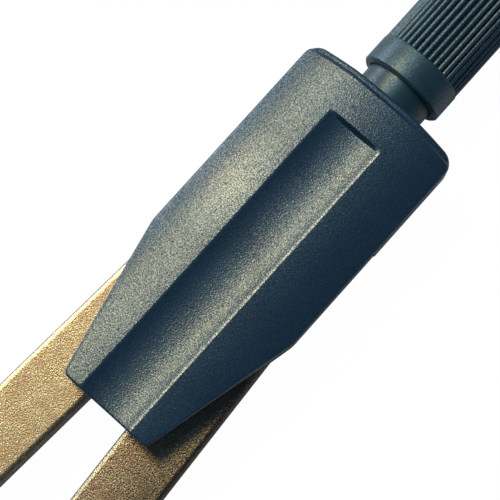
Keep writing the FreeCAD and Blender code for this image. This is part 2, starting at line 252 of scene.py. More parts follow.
class HandleSettings(bpy.types.PropertyGroup):
    """Sizes and colour of the neck, the fluted grip and its cap"""

    ribs: IntProperty(name="Ribs", description="Number of ribs round the grip", default=40)
    rib_radius: length("Rib radius", "Radius over the ribs", 3.72)
    rib_depth: length("Rib depth", "Depth of the flutes", 0.36)
    collar_length: length("Collar length", "Length of the smooth collar", 2.55)
    collar_wall: length("Collar wall", "Thickness of the collar's rim", 0.65)
    collar_lap: length("Collar lap", "Depth of the recess that the neck goes into", 0.8)
    collar_bevel: length("Collar bevel", "Width of the bevel at the collar's lower rim", 0.16)
    neck_flare: length("Neck flare", "Radius at the foot of the neck", 0.2)
    plug_length: length("Plug length", "How deep the end cap's plug goes into the grip", 3.0)
    rib_share: number(
        "Rib share", "Share of the pitch that a rib's foot fills", 0.84, min=0.1, max=1.2)
    cap_round: length("Cap rounding", "Radius round the top of the end cap", 0.7)
    stem_radius: length("Stem radius", "Radius of the stem inside the head and the grip", 2.2)
    flange_radius: length("Flange radius", "Radius of the stem's foot", 2.9)
    flange_height: length("Flange height", "Height of the stem's foot", 1.2)
    grain: length("Grain depth", "Depth of the fine grain", 0.01)
    colour: colouring("Colour", "Colour of the grip's plastic", (0.006, 0.022, 0.042))


class MetalSettings(bpy.types.PropertyGroup):
    """Sizes and colours of the metal pieces"""

    leg_colour: colouring("Legs", "Colour of the satin legs", (0.344, 0.281, 0.191))
    # Painted shade: how much darker the right leg's copy of the leg metal is.
    right_leg_painted_shade: number(
        "Right leg", "How dark the right leg is beside the left one", 0.72, min=0.0, max=1.0)
    leg_grain: length("Leg grain", "Depth of the pebbled grain of the legs", 0.034)
    thumb_radius: length("Thumb screw radius", "Radius over the knurls", 2.2)
    thumb_length: length("Thumb screw head", "Length of a thumb screw's head", 2.4)
    clamp_radius: length("Clamp radius", "Radius of a thumb screw's shank", 0.8)
    knurls: IntProperty(name="Knurls", description="Number of knurls on a thumb screw", default=16)
    knurl_depth: length("Knurl depth", "Depth of the knurls", 0.14)
    brass_colour: colouring(
        "Turned brass", "Colour of bushes, nuts and thumb screws", (0.70, 0.50, 0.24))
    steel_colour: colouring("Steel", "Colour of screws and needles", (0.60, 0.60, 0.60))


class StageSettings(bpy.types.PropertyGroup):
    """Where the camera and the lamps stand"""

    aim: FloatVectorProperty(
        name="Aim", description="Point in the middle of the view", subtype="XYZ",
        default=(-0.345 * MM, 32.4 * MM, 4.2 * MM), unit="LENGTH")
    distance: length("Distance", "Distance of the camera from its aim", 134.5)
    tilt: angle("Tilt", "How far the camera leans towards the legs", 5.5)
    side_tilt: angle("Side tilt", "How far the camera leans to the right of the tool", 6.5)
    roll: angle("Roll", "Angle between the tool's middle line and the picture's upright", 42)
    lens: number("Lens", "Focal length in millimetres", 122.0)
    key_power: number("Key lamp", "Power of the main lamp in watts", 1.2)
    sky_power: number("Sky lamp", "Power of the cool soft lamp in watts", 0.18)
    side_power: number("Side lamp", "Power of the low lamp on the left in watts", 0.6)
    lamp_width: length("Lamp width", "Width of the lamps across the tool", 80)
    lamp_length: length("Lamp length", "Length of the lamps along the tool", 100)
    world_level: number("World level", "Brightness of the surroundings", 0.18)


# Shader helpers

def feed(tree, socket, value):
    """Links another node's output to an input, or sets the input to a constant."""
    if isinstance(value, bpy.types.NodeSocket):
        tree.links.new(value, socket)
    else:
        socket.default_value = value


def give(tree, node, **inputs):
    """Links or sets a node's inputs by name."""
    for name, value in inputs.items():
        feed(tree, node.inputs[name.replace("_", " ")], value)


def put(tree, kind, settings=None, **inputs):
    """Adds a node, sets its options, and links or sets its inputs by name."""
    node = tree.nodes.new(kind)
    for name, value in (settings or {}).items():
        setattr(node, name, value)
    give(tree, node, **inputs)
    return node


def maths(tree, operation, *values):
    """The result of a maths node."""
    node = put(tree, "ShaderNodeMath", {"operation": operation})
    for socket, value in zip(node.inputs, values):
        feed(tree, socket, value)
    return node.outputs[0]


def mixed(tree, factor, first, second):
    """A colour between two colours, by a factor."""
    node = put(tree, "ShaderNodeMix", {"data_type": "RGBA"})
    for index, value in ((0, factor), (6, first), (7, second)):
        feed(tree, node.inputs[index], (*value, 1.0) if isinstance(value, tuple) else value)
    return node.outputs[2]


def blended(tree, factor, first, second):
    """A shader between two shaders, by a factor."""
    node = tree.nodes.new("ShaderNodeMixShader")
    for socket, value in zip(node.inputs, (factor, first.outputs[0], second.outputs[0])):
        feed(tree, socket, value)
    return node.outputs[0]


def ranged(tree, value, old, new):
    """A value moved from one range to another."""
    node = put(tree, "ShaderNodeMapRange", Value=value, From_Min=old[0], From_Max=old[1],
               To_Min=new[0], To_Max=new[1])
    return node.outputs[0]


def noise(tree, place, scale, detail=2.0, rough=0.5):
    """The values of a noise texture."""
    node = put(tree, "ShaderNodeTexNoise", Vector=place, Scale=scale, Detail=detail,
               Roughness=rough)
    return node.outputs["Fac"]


def bumped(tree, height, depth, strength=1.0):
    """The normal of a surface with a grain."""
    node = put(tree, "ShaderNodeBump", Height=height, Distance=depth, Strength=strength)
    return node.outputs[0]


def start_material(name):
    """A new material with its node tree, shader and Object coordinates."""
    material = bpy.data.materials.new(name)
    material.use_nodes = True
    tree = material.node_tree
    shader = tree.nodes["Principled BSDF"]
    place = tree.nodes.new("ShaderNodeTexCoord").outputs["Object"]
    return material, tree, shader, place


def shade(colour, factor):
    """A colour made darker or lighter."""
    return tuple(min(1.0, part * factor) for part in colour)


def varied(tree, factor, colour, low, high):
    """A colour between its own darker and lighter shades, by a factor."""
    return mixed(tree, factor, shade(colour, low), shade(colour, high))


def tinged(colour, tint):
    """A colour seen through a tint."""
    return tuple(part * share for part, share in zip(colour, tint))


def grained_plastic(name, colour, depth, roughness, shine, film):
    """Moulded plastic: a soft sheen tinted with a painted bluish sky reflection under a narrower
    bright film, with a fine grain and a painted highlight round one spot.
    """
    material, tree, shader, place = start_material(name)
    fine = noise(tree, place, GRAIN_SCALE, rough=0.6)
    speck = ranged(tree, noise(tree, place, FINER_SCALE), SPECKLED, (0.2, 1.8))
    patches = noise(tree, place, PLASTIC_PATCH_SCALE)
    # Painted highlight: the film is made shinier round one spot of the front.
    away = put(tree, "ShaderNodeVectorMath", {"operation": "DISTANCE"}, Vector=place)
    away.inputs[1].default_value = PAINTED_HOT_SPOT
    hot_spot = ranged(tree, away.outputs["Value"], (0.0, HOT_SPOT_REACH),
                    (HOT_SPOT_GAIN * film, film))
    bump = bumped(tree, fine, depth)
    give(tree, shader, Base_Color=varied(tree, patches, colour, 0.9, 1.1),
         Specular_IOR_Level=ranged(tree, patches, BROAD, (0.8 * shine, 1.2 * shine)),
         Specular_Tint=(*PAINTED_SKY_REFLECTION, 1.0),
         Roughness=ranged(tree, fine, BROAD, (roughness + 0.02, roughness + 0.12)),
         Coat_Weight=maths(tree, "MULTIPLY", speck, hot_spot),
         Coat_Roughness=roughness - 0.05, Normal=bump, Coat_Normal=bump)
    return material


def paint_rim_highlight(material, middle, reach, top, gain):
    """Paints a highlight on a plastic: a shinier strip along the tool that ends at a top."""
    tree = material.node_tree
    coat = tree.nodes["Principled BSDF"].inputs["Coat Weight"]
    place = tree.nodes["Texture Coordinate"].outputs["Object"]
    parts = put(tree, "ShaderNodeSeparateXYZ", Vector=place).outputs
    strip = maths(tree, "COMPARE", parts["X"], middle, reach)
    highlighted = maths(tree, "MULTIPLY", strip, maths(tree, "LESS_THAN", parts["Y"], top))
    shine = ranged(tree, highlighted, (0.0, 1.0), (1.0, gain))
    feed(tree, coat, maths(tree, "MULTIPLY", shine, coat.links[0].from_socket))


def grained_metal(name, colour, depth, roughness, outer_painted_shade=1.0):
    """Satin metal with a fine pebbled grain and faint patches, with painted shade towards its
    outer side, and a painted highlight along the edge that faces up and to the left."""
    material, tree, shader, place = start_material(name)
    fine = noise(tree, place, FINER_SCALE)
    speck = ranged(tree, noise(tree, place, FINEST_SCALE), SPECKLED, (0.0, 1.0))
    base = varied(tree, speck, colour, 0.2, 1.8)
    broad = noise(tree, place, LEG_PATCH_SCALE, detail=3.0, rough=0.6)
    patches = ranged(tree, broad, PATCHED, (0.0, PATCH_SHARE))
    tinted = mixed(tree, patches, base, tinged(colour, PATCH_TINT))
    # Painted shade: the colour darkens across the tool towards the outer side.
    across = put(tree, "ShaderNodeSeparateXYZ", Vector=place).outputs["X"]
    outer = ranged(tree, across, PAINTED_SHADE_SIDE, (1.0, outer_painted_shade))
    painted_shade_metal = put(tree, "ShaderNodeVectorMath", {"operation": "SCALE"}, Vector=tinted, Scale=outer)
    # Painted highlight: the edges that face up and to the left are made pale.
    normal = tree.nodes["Texture Coordinate"].outputs["Normal"]
    turned = put(tree, "ShaderNodeSeparateXYZ", Vector=normal).outputs
    leftwards = ranged(tree, turned["X"], EDGE_LEFTWARDS, (0.0, 1.0))
    upwards = ranged(tree, turned["Z"], EDGE_UPWARDS, (0.0, EDGE_HIGHLIGHT_SHARE))
    highlighted = maths(tree, "MULTIPLY", leftwards, upwards)
    give(tree, shader, Base_Color=mixed(tree, highlighted, painted_shade_metal.outputs[0], PAINTED_EDGE_HIGHLIGHT),
         Roughness=ranged(tree, fine, (0.25, 0.75), (roughness - 0.06, roughness + 0.08)),
         Normal=bumped(tree, fine, depth), Metallic=1.0)
    return material


def turned_metal(name, colour, roughness):
    """Turned metal with fine lines left by the tool."""
    material, tree, shader, place = start_material(name)
    stretched = put(tree, "ShaderNodeMapping", Vector=place, Scale=LINE_STRETCH)
    lines = noise(tree, stretched.outputs[0], LINE_SCALE)
    streaks = ranged(tree, lines, BROAD, (0.0, 1.0))
    give(tree, shader, Base_Color=varied(tree, streaks, colour, 0.8, 1.1),
         Roughness=ranged(tree, lines, BROAD, (roughness - 0.05, roughness + 0.08)),
         Normal=bumped(tree, lines, LINE_DEPTH, 0.6), Metallic=1.0)
    return material


def waxy_nylon(name):
    """Milky nylon with faint clouds."""
    material, tree, shader, place = start_material(name)
    clouds = noise(tree, place, NYLON_CLOUD_SCALE)
    give(tree, shader, Base_Color=mixed(tree, clouds, NYLON_DARK, NYLON_PALE),
         Roughness=ranged(tree, clouds, BROAD, (0.45, 0.6)))
    return material


# Mesh helpers

def rounded_outline(corners, radii, arc_step, run_step):
    """Points round a closed outline, each corner rounded by an arc of its own radius."""
    points = []
    count = len(corners)
    for i in range(count):
        corner = Vector(corners[i])
        before = (Vector(corners[i - 1]) - corner).normalized()
        after = (Vector(corners[(i + 1) % count]) - corner).normalized()
        half = before.angle(after) / 2
        if radii[i] == 0:
            points.append(corner)
            continue
        inward = (before + after).normalized()
        centre = corner + inward * radii[i] / math.sin(half)
        first = corner + before * radii[i] / math.tan(half) - centre
        turn = math.pi - 2 * half
        if first.cross(after) < 0:
            turn = -turn
        steps = max(2, round(abs(turn) / arc_step))
        for k in range(steps + 1):
            points.append(centre + Matrix.Rotation(turn * k / steps, 2) @ first)
    filled = []
    for here, there in zip(points, points[1:] + points[:1]):
        steps = max(1, round((there - here).length / run_step))
        filled += [here.lerp(there, k / steps) for k in range(steps)]
    return filled


def inset(points, distance):
    """The outline, counter-clockwise, moved inwards by a distance."""
    moved = []
    count = len(points)
    for i in range(count):
        before = (points[i] - points[i - 1]).normalized()
        after = (points[(i + 1) % count] - points[i]).normalized()
        along = (before + after).normalized()
        inward = Vector((-along.y, along.x))
        moved.append(points[i] + inward * distance / max(0.3, along.dot(before)))
    return moved


def stations(low, high, coarse, features=(), near=0.0, fine=0.0):
    """Places from low to high, at fine steps near the features and coarse ones elsewhere."""
    places = []
    place = low
    while place < high:
        places.append(place)
        close = any(abs(place - feature) < near for feature in features)
        place += fine if close else coarse
    return places


def inside_points(outline, columns, rows, margin):
    """The grid points that lie inside an outline by more than a margin."""
    xs, ys = np.meshgrid(columns, rows)
    xs = xs.ravel()
    ys = ys.ravel()
    inside = np.zeros(len(xs), bool)
    nearest = np.full(len(xs), math.inf)
    for a, b in zip(outline, outline[1:] + outline[:1]):
        crosses = (a.y > ys) != (b.y > ys)
        rise = (b.y - a.y) or math.inf
        inside ^= crosses & (xs < a.x + (ys - a.y) * (b.x - a.x) / rise)
        run = b - a
        share = np.clip(((xs - a.x) * run.x + (ys - a.y) * run.y) / run.length_squared, 0, 1)
        away = np.hypot(xs - a.x - share * run.x, ys - a.y - share * run.y)
        nearest = np.minimum(nearest, away)
    keep = inside & (nearest > margin)
    return [Vector((x, y)) for x, y in zip(xs[keep].tolist(), ys[keep].tolist())]


def new_object(name, vertices, faces, material):
    """A new object of plain mesh in the scene."""
    mesh = bpy.data.meshes.new(name)
    mesh.from_pydata([tuple(v) for v in vertices], [], faces)
    mesh.materials.append(material)
    obj = bpy.data.objects.new(name, mesh)
    bpy.context.scene.collection.objects.link(obj)
    return obj


def with_normals_out(obj):
    """Joins an object's doubled vertices and turns its faces outwards."""
    mesh = bmesh.new()
    mesh.from_mesh(obj.data)
    bmesh.ops.remove_doubles(mesh, verts=mesh.verts, dist=WELD)
    bmesh.ops.recalc_face_normals(mesh, faces=mesh.faces)
    mesh.to_mesh(obj.data)
    mesh.free()
    return obj


def settle(obj):
    """Turns an object's modifiers into plain mesh."""
    evaluated = obj.evaluated_get(bpy.context.evaluated_depsgraph_get())
    mesh = bpy.data.meshes.new_from_object(evaluated)
    obj.modifiers.clear()
    obj.data = mesh
    return obj


def cut_away(obj, cutters):
    """Takes the cutters' room out of an object."""
    for cutter in cutters:
        modifier = obj.modifiers.new("cut", "BOOLEAN")
        modifier.operation = "DIFFERENCE"
        modifier.solver = "EXACT"
        modifier.object = cutter
    settle(obj)
    for cutter in cutters:
        bpy.data.objects.remove(cutter)
    return obj


def prism(outline, low, high):
    """A straight-sided block over an outline of (x, y) points."""
    count = len(outline)
    vertices = [(p[0], p[1], z) for z in (low, high) for p in outline]
    faces = [list(range(count))[::-1], list(range(count, 2 * count))]
    for i in range(count):
        j = (i + 1) % count
        faces.append([i, j, count + j, count + i])
    return with_normals_out(new_object("block", vertices, faces, None))


def lathed(name, profile, material, origin=(0, 0, MIDDLE_Z), axis="Y", steps=TURN_STEPS):
    """A turned piece: a closed (radius, height) outline carried round the Y or the Z axis."""
    vertices = []
    faces = []
    count = len(profile)
    for k in range(steps):
        turn = 2 * math.pi * k / steps
        for radius, height in profile:
            a = radius * math.cos(turn)
            b = radius * math.sin(turn)
            spot = (b, height, a) if axis == "Y" else (a, b, height)
            vertices.append(Vector(spot) + Vector(origin))
        after = (k + 1) % steps
        for i in range(count):
            j = (i + 1) % count
            faces.append([k * count + i, k * count + j, after * count + j, after * count + i])
    return with_normals_out(new_object(name, vertices, faces, material))


def arc_points(centre, radius, start, end, steps):
    """Points of an arc in a turned outline, from a start to an end angle in degrees."""
    points = []
    for k in range(steps + 1):
        turn = math.radians(start + (end - start) * k / steps)
        points.append((centre[0] + radius * math.cos(turn), centre[1] + radius * math.sin(turn)))
    return points


def joined(name, objects):
    """One object made of several."""
    mesh = bmesh.new()
    for obj in objects:
        mesh.from_mesh(obj.data)
    whole = new_object(name, [], [], objects[0].data.materials[0])
    mesh.to_mesh(whole.data)
    mesh.free()
    for obj in objects:
        bpy.data.objects.remove(obj)
    return whole


def rib_tree():
    """Geometry nodes that set half-round ribs in a ring round the Y axis, on the input mesh."""
    name = "ribs_in_a_ring"
    if name in bpy.data.node_groups:
        return bpy.data.node_groups[name]
    tree = bpy.data.node_groups.new(name, "GeometryNodeTree")
    kinds = (("Geometry", "Geometry"), ("Ribs", "Int"), ("Facets", "Int"),
             ("Sink Radius", "Float"), ("Width", "Float"), ("Height", "Float"),
             ("Start", "Float"), ("Length", "Float"), ("Centre", "Vector"),
             ("Material", "Material"))
    for label, kind in kinds:
        tree.interface.new_socket(label, in_out="INPUT", socket_type="NodeSocket" + kind)
    tree.interface.new_socket("Geometry", in_out="OUTPUT", socket_type="NodeSocketGeometry")
    given = tree.nodes.new("NodeGroupInput").outputs
    rib = put(tree, "GeometryNodeMeshCylinder", Vertices=given["Facets"], Radius=1.0, Depth=1.0)
    half = maths(tree, "DIVIDE", given["Width"], 2.0)
    size = put(tree, "ShaderNodeCombineXYZ", X=half, Y=given["Height"], Z=given["Length"])
    laid = put(tree, "GeometryNodeTransform", Geometry=rib.outputs["Mesh"],
               Scale=size.outputs[0], Rotation=(math.radians(-90), 0.0, 0.0))
    middle = maths(tree, "MULTIPLY_ADD", given["Length"], 0.5, given["Start"])
    offset = put(tree, "ShaderNodeCombineXYZ", Y=middle, Z=given["Sink Radius"])
    raised = put(tree, "GeometryNodeTransform", Geometry=laid.outputs[0],
                 Translation=offset.outputs[0])
    spots = put(tree, "GeometryNodePoints", Count=given["Ribs"])
    index = tree.nodes.new("GeometryNodeInputIndex").outputs[0]
    step = maths(tree, "DIVIDE", 2 * math.pi, given["Ribs"])
    heading = put(tree, "ShaderNodeCombineXYZ", Y=maths(tree, "MULTIPLY", index, step))
    ring = put(tree, "GeometryNodeInstanceOnPoints", Points=spots.outputs[0],
               Instance=raised.outputs[0], Rotation=heading.outputs[0])
    placed = put(tree, "GeometryNodeTransform", Geometry=ring.outputs[0],
                 Translation=given["Centre"])
    both = tree.nodes.new("GeometryNodeJoinGeometry")
    tree.links.new(placed.outputs[0], both.inputs[0])
    tree.links.new(given["Geometry"], both.inputs[0])
    real = put(tree, "GeometryNodeRealizeInstances", Geometry=both.outputs[0])
    done = put(tree, "GeometryNodeSetMaterial", Geometry=real.outputs[0],
               Material=given["Material"])
    put(tree, "NodeGroupOutput", Geometry=done.outputs[0])
    return tree


def ribs_on(obj, material, values):
    """Adds a ring of ribs to an object and turns the result into plain mesh."""
    tree = rib_tree()
    sockets = {item.name: item.identifier for item in tree.interface.items_tree
               if item.in_out == "INPUT"}
    modifier = obj.modifiers.new("ribs", "NODES")
    modifier.node_group = tree
    modifier[sockets["Material"]] = material
    for name, value in values.items():
        modifier[sockets[name]] = value
    return settle(obj)


def finish_piece(obj, body, nodes):
    """Shades a finished piece, hangs it under its body and hides the frame nodes that it stands
    for.
    """
    obj.data.shade_smooth()
    obj.data.set_sharp_from_angle(angle=SHARP_EDGE)
    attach(obj, body)
    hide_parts(*nodes)


def soft_min(a, b, blend):
    """The lesser of two values, rounded where they are closer than a blend."""
    return min(a, b) - max(blend - abs(a - b), 0.0) ** 2 / (4 * blend)


def soft_max(a, b, blend):
    """The greater of two values, rounded in the same way."""
    return -soft_min(-a, -b, blend)


# The two covers of the head

def head_outline(head):
    """The outline of the covers, which taper downwards."""
    half = (HEAD_HIGH.x - HEAD_LOW.x) / 2
    end = head.end_width / 2
    taper = HEAD_LOW.y + head.taper_length
    corner = HEAD_HIGH.y - head.shoulder_drop
    neck = (STEM_HIGH.x - STEM_LOW.x) / 2
    right = [(end, HEAD_LOW.y), (half, taper), (half, corner), (neck, HEAD_HIGH.y)]
    left = [(-x, y) for x, y in reversed(right)]
    radii = [head.end_corner, head.taper_corner, head.top_corner, 0.0]
    return rounded_outline(right + left, radii + radii[::-1], OUTLINE_TURN, OUTLINE_STEP)


def front_height(head):
    """The front's height above the middle plane, as a function of x and y."""
    half = HEAD_HIGH.x
    full = HEAD_HIGH.z - MIDDLE_Z
    neck = STEM_HIGH.x
    rim_x = head.trough_width / 2
    wall_y = HEAD_HIGH.y - head.trough_below_top
    end_wall = math.tan(END_WALL)
    ledge_wall = math.tan(head.ledge_wall)
    fall = math.tan(head.ledge_slope)

    def bulge(x):
        across = (x / half) ** 2
        return full - head.crown * (across + head.crown_turn * (across ** 2 - across))

    rim_z = bulge(rim_x)

    def height(x, y):
        crown = bulge(x)
        share = min(1.0, max(0.0, (abs(x) - neck) / (half - neck)))
        inwards = HEAD_HIGH.y - head.shoulder_drop * share - y
        beyond = head.ledge_width - inwards
        ledge = head.ledge_step + beyond * fall
        step = soft_min(ledge, (beyond + LEDGE_LEAD) * ledge_wall, LEDGE_BLENDS[0])
        step = soft_max(step, 0.0, LEDGE_BLENDS[1])
        across = (x / rim_x) ** 2
        floor = rim_z - head.trough_depth * (1 - across) - head.trough_turn * (1 - across ** 2)
        lift = head.rim_lift * min(1.0, (rim_x - abs(x)) / head.rim_run)
        groove = soft_min(crown - floor - lift, (wall_y - y) * end_wall, TROUGH_BLENDS[0])
        return crown - step - soft_max(groove, 0.0, TROUGH_BLENDS[1])

    return height


def shell(name, outline, height, edge, seam, columns, rows, sign, material, narrowing=0.0):
    """A solid between the middle plane and a curved face with a rounded rim.

    The sides narrow by a distance on the way to the rim.
    """
    vertices = []
    count = len(outline)

    def lay(points, level):
        for p in points:
            vertices.append((p.x, p.y, MIDDLE_Z + sign * level(p)))

    lay(inset(outline, seam), lambda p: 0.0)
    lay(outline, lambda p: seam)
    for share in SIDE_SHARES:
        side = inset(outline, narrowing * share)
        lay(side, lambda p: seam + share * (height(p.x, p.y) - edge - seam))
    for k in range(RIM_STEPS + 1):
        turn = math.pi / 2 * k / RIM_STEPS
        ring = inset(outline, narrowing + edge * (1 - math.cos(turn)))
        drop = edge * (1 - math.sin(turn))
        lay(ring, lambda p: height(p.x, p.y) - drop)
    levels = len(vertices) // count
    faces = [list(range(count))[::-1]]
    for level in range(levels - 1):
        for i in range(count):
            j = (i + 1) % count
            low = level * count
            faces.append([low + i, low + j, low + count + j, low + count + i])
    last = (levels - 1) * count
    inner = inset(outline, narrowing + edge)
    grid = inside_points(inner, columns, rows, GRID_MARGIN)
    points, _, triangles, sources, _, _ = delaunay_2d_cdt(
        inner + grid, [], [list(range(count))], 1, 0.01 * WELD)
    index = []
    for point, source in zip(points, sources):
        if source and source[0] < count:
            index.append(last + source[0])
        else:
            index.append(len(vertices))
            lay([point], lambda p: height(p.x, p.y))
    faces += [[index[i] for i in triangle] for triangle in triangles]
    return with_normals_out(new_object(name, vertices, faces, material))


def leg_room(room):
    """The outline of the room for the legs: a gear well that opens downwards and sideways."""
    reach = room.leg_width / 2 + room.gap
    outside = HEAD_HIGH.x + OVERCUT
    wall = PIVOT.x + reach
    sine = math.sin(room.open_angle)
    cosine = math.cos(room.open_angle)

    def shoulder(x):
        travel = (x - PIVOT.x - reach * cosine) / sine
        return PIVOT.y + reach * sine - travel * cosine

    right = [(outside, HEAD_LOW.y - OVERCUT), (outside, shoulder(outside)),
             (wall, shoulder(wall))]
    start = math.asin(min(1.0, max(0.0, (shoulder(wall) - PIVOT.y) / reach)))
    for k in range(ROOM_STEPS + 1):
        turn = start + (math.pi / 2 - start) * k / ROOM_STEPS
        right.append((PIVOT.x + reach * math.cos(turn), PIVOT.y + reach * math.sin(turn)))
    right.append((PIVOT.x, PIVOT.y + room.gear_radius + room.gap))
    left = [(-x, y) for x, y in reversed(right)]
    return right + left


def cover_screw_place(side, room):
    """Where one of the two upper screws stands."""
    low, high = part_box("cover_screws")
    return Vector((SIDES[side] * (high.x - room.cover_head), (low.y + high.y) / 2, 0))


class DIVIDER_OT_head_covers(bpy.types.Operator):
    """Make the moulded front and back covers of the head"""

    bl_idname = "divider.head_covers"
    bl_label = "Head covers"

    def execute(self, context):
        head = context.scene.divider_head
        room = context.scene.divider_room
        plastic = grained_plastic("moulded_head", head.colour, head.grain,
                                  roughness=0.385, shine=0.34, film=0.97)
        outline = head_outline(head)
        half = HEAD_HIGH.x
        rim = head.trough_width / 2
        columns = stations(-half, half, features=(-rim, rim), **FRONT_COLUMNS)
        wall = HEAD_HIGH.y - head.trough_below_top
        # A painted highlight along the trough's right rim.
        paint_rim_highlight(plastic, rim - head.rim_run / 2, head.rim_run / 2, wall, head.rim_highlight_gain)
        ledge = HEAD_HIGH.y - head.ledge_width
        places = (wall, ledge, ledge - head.shoulder_drop / 2, ledge - head.shoulder_drop)
        rows = stations(HEAD_LOW.y, HEAD_HIGH.y, features=places, **FRONT_ROWS)
        front = shell("front_cover", outline, front_height(head), head.edge_round, head.seam,
                      columns, rows, 1, plastic)
        legs = prism(leg_room(room), HEAD_LOW.z - OVERCUT, MIDDLE_Z + room.half_height)
        cut_away(front, [legs, self.stem_pocket(context)])
        finish_piece(front, "head", ["head_front_cover"])

        depth = BACK_HIGH.z - BACK_LOW.z
        columns = stations(-half, half, BACK_GRID)
        rows = stations(HEAD_LOW.y, HEAD_HIGH.y, BACK_GRID)
        narrowing = depth * math.tan(head.back_draft)
        back = shell("back_cover", outline, lambda x, y: depth, head.back_round, head.seam,
                     columns, rows, -1, plastic, narrowing)
        cutters = [prism(leg_room(room), MIDDLE_Z - room.half_height, MIDDLE_Z + OVERCUT),
                   self.stem_pocket(context)]
        for side in SIDES:
            pivot = joint_place(side + "_leg_open")
            upper = cover_screw_place(side, room)
            cutters.append(self.screw_recess(pivot, room.pivot_head, room))
            cutters.append(self.screw_recess(upper, room.cover_head, room))
        cut_away(back, cutters)
        finish_piece(back, "head", ["head_back_cover"])
        return {"FINISHED"}

    def stem_pocket(self, context):
        """The room of the stem's flanged foot."""
        stem, profile = stem_foot(context.scene.divider_handle, play=0.03 * MM)
        profile += [(stem, HEAD_HIGH.y + OVERCUT), (0, HEAD_HIGH.y + OVERCUT)]
        return lathed("pocket", profile, None)

    def screw_recess(self, place, head, room):
        """The round recess of a screw's head."""
        radius = head + room.screw_gap
        below = BACK_LOW.z - OVERCUT
        seat = MIDDLE_Z - room.screw_seat
        profile = [(0, below), (radius, below), (radius, seat), (0, seat)]
        return lathed("recess", profile, None, (place.x, place.y, 0), axis="Z",
                      steps=SCREW_STEPS)


def stem_foot(handle, play):
    """The stem's radius and the outline of its flanged foot, with some play all round."""
    foot = STEM_LOW.y - play
    flange_top = STEM_LOW.y + handle.flange_height + play
    flange = handle.flange_radius + play
    stem = handle.stem_radius + play
    return stem, [(0, foot), (flange, foot), (flange, flange_top), (stem, flange_top)]


class DIVIDER_OT_neck(bpy.types.Operator):
    """Make the neck with its stem"""

    bl_idname = "divider.neck"
    bl_label = "Neck"

    def execute(self, context):
        handle = context.scene.divider_handle
        plastic = grained_plastic("moulded_neck", handle.colour, handle.grain,
                                  roughness=0.42, shine=0.5, film=0.75)
        radius = STEM_HIGH.x
        base = HEAD_HIGH.y
        top = GRIP_LOW.y + handle.collar_lap - FIT
        flare = handle.neck_flare
        bevel = 0.1 * MM
        stem, profile = stem_foot(handle, play=0.0)
        profile += [(stem, base), (radius + flare, base)]
        profile += arc_points((radius + flare, base + flare), flare, 260, 180, 6)
        profile += [(radius, top - bevel), (radius - bevel, top), (stem, top),
                    (stem, STEM_HIGH.y), (0, STEM_HIGH.y)]
        neck = lathed("neck", profile, plastic)
        finish_piece(neck, "head", ["neck_stem"])
        return {"FINISHED"}


class DIVIDER_OT_grip(bpy.types.Operator):
    """Make the fluted grip with its smooth collar, and the end cap"""

    bl_idname = "divider.grip"
    bl_label = "Grip"

    def execute(self, context):
        handle = context.scene.divider_handle
        plastic = grained_plastic("moulded_grip", handle.colour, handle.grain,
                                  roughness=0.45, shine=0.66, film=0.75)
        self.make_grip(handle, plastic)
        self.make_cap(handle, plastic)
        return {"FINISHED"}

    def make_grip(self, handle, plastic):
        """The hollow sleeve with its collar and a ring of ribs."""
        low = GRIP_LOW.y
        collar = GRIP_HIGH.x
        collar_top = low + handle.collar_length
        recess = collar - handle.collar_wall
        bevel = handle.collar_bevel
        core = handle.rib_radius - handle.rib_depth
        stem = handle.stem_radius + FIT
        inner_bevel = 0.08 * MM
        upper_round = 0.15 * MM
        end_bevel = 0.2 * MM
        profile = [(recess, low + handle.collar_lap), (recess, low + inner_bevel),
                   (recess + inner_bevel, low), (collar - bevel, low), (collar, low + bevel)]
        profile += arc_points((collar - upper_round, collar_top - upper_round), upper_round,
                              0, 90, 4)
        profile += [(core, collar_top), (core, GRIP_HIGH.y - end_bevel),
                    (core - end_bevel, GRIP_HIGH.y), (stem, GRIP_HIGH.y),
                    (stem, low + handle.collar_lap)]
        grip = lathed("grip", profile, plastic)
        pitch = 2 * math.pi * handle.rib_radius / handle.ribs
        ribs_on(grip, plastic, {
            "Ribs": handle.ribs, "Sink Radius": core, "Width": pitch * handle.rib_share,
            "Height": handle.rib_depth, "Start": collar_top - RIB_SINK,
            "Length": GRIP_HIGH.y - RIB_STOP - collar_top, "Facets": 16,
            "Centre": (0.0, 0.0, MIDDLE_Z)})
        finish_piece(grip, "head", ["handle_grip"])

    def make_cap(self, handle, plastic):
        """The rounded cap with the plug that goes into the grip."""
        radius = CAP_HIGH.x
        foot = GRIP_HIGH.y + FIT
        top = CAP_HIGH.y
        bevel = handle.cap_round
        plug = handle.stem_radius
        plug_low = GRIP_HIGH.y - handle.plug_length
        profile = [(0, plug_low), (plug, plug_low), (plug, foot), (radius, foot)]
        profile += arc_points((radius - bevel, top - bevel), bevel, 0, 90, 8)
        profile += [(0, top)]
        cap = lathed("end_cap", profile, plastic)
        finish_piece(cap, "head", ["handle_end_cap"])


# Thumb screws and screws

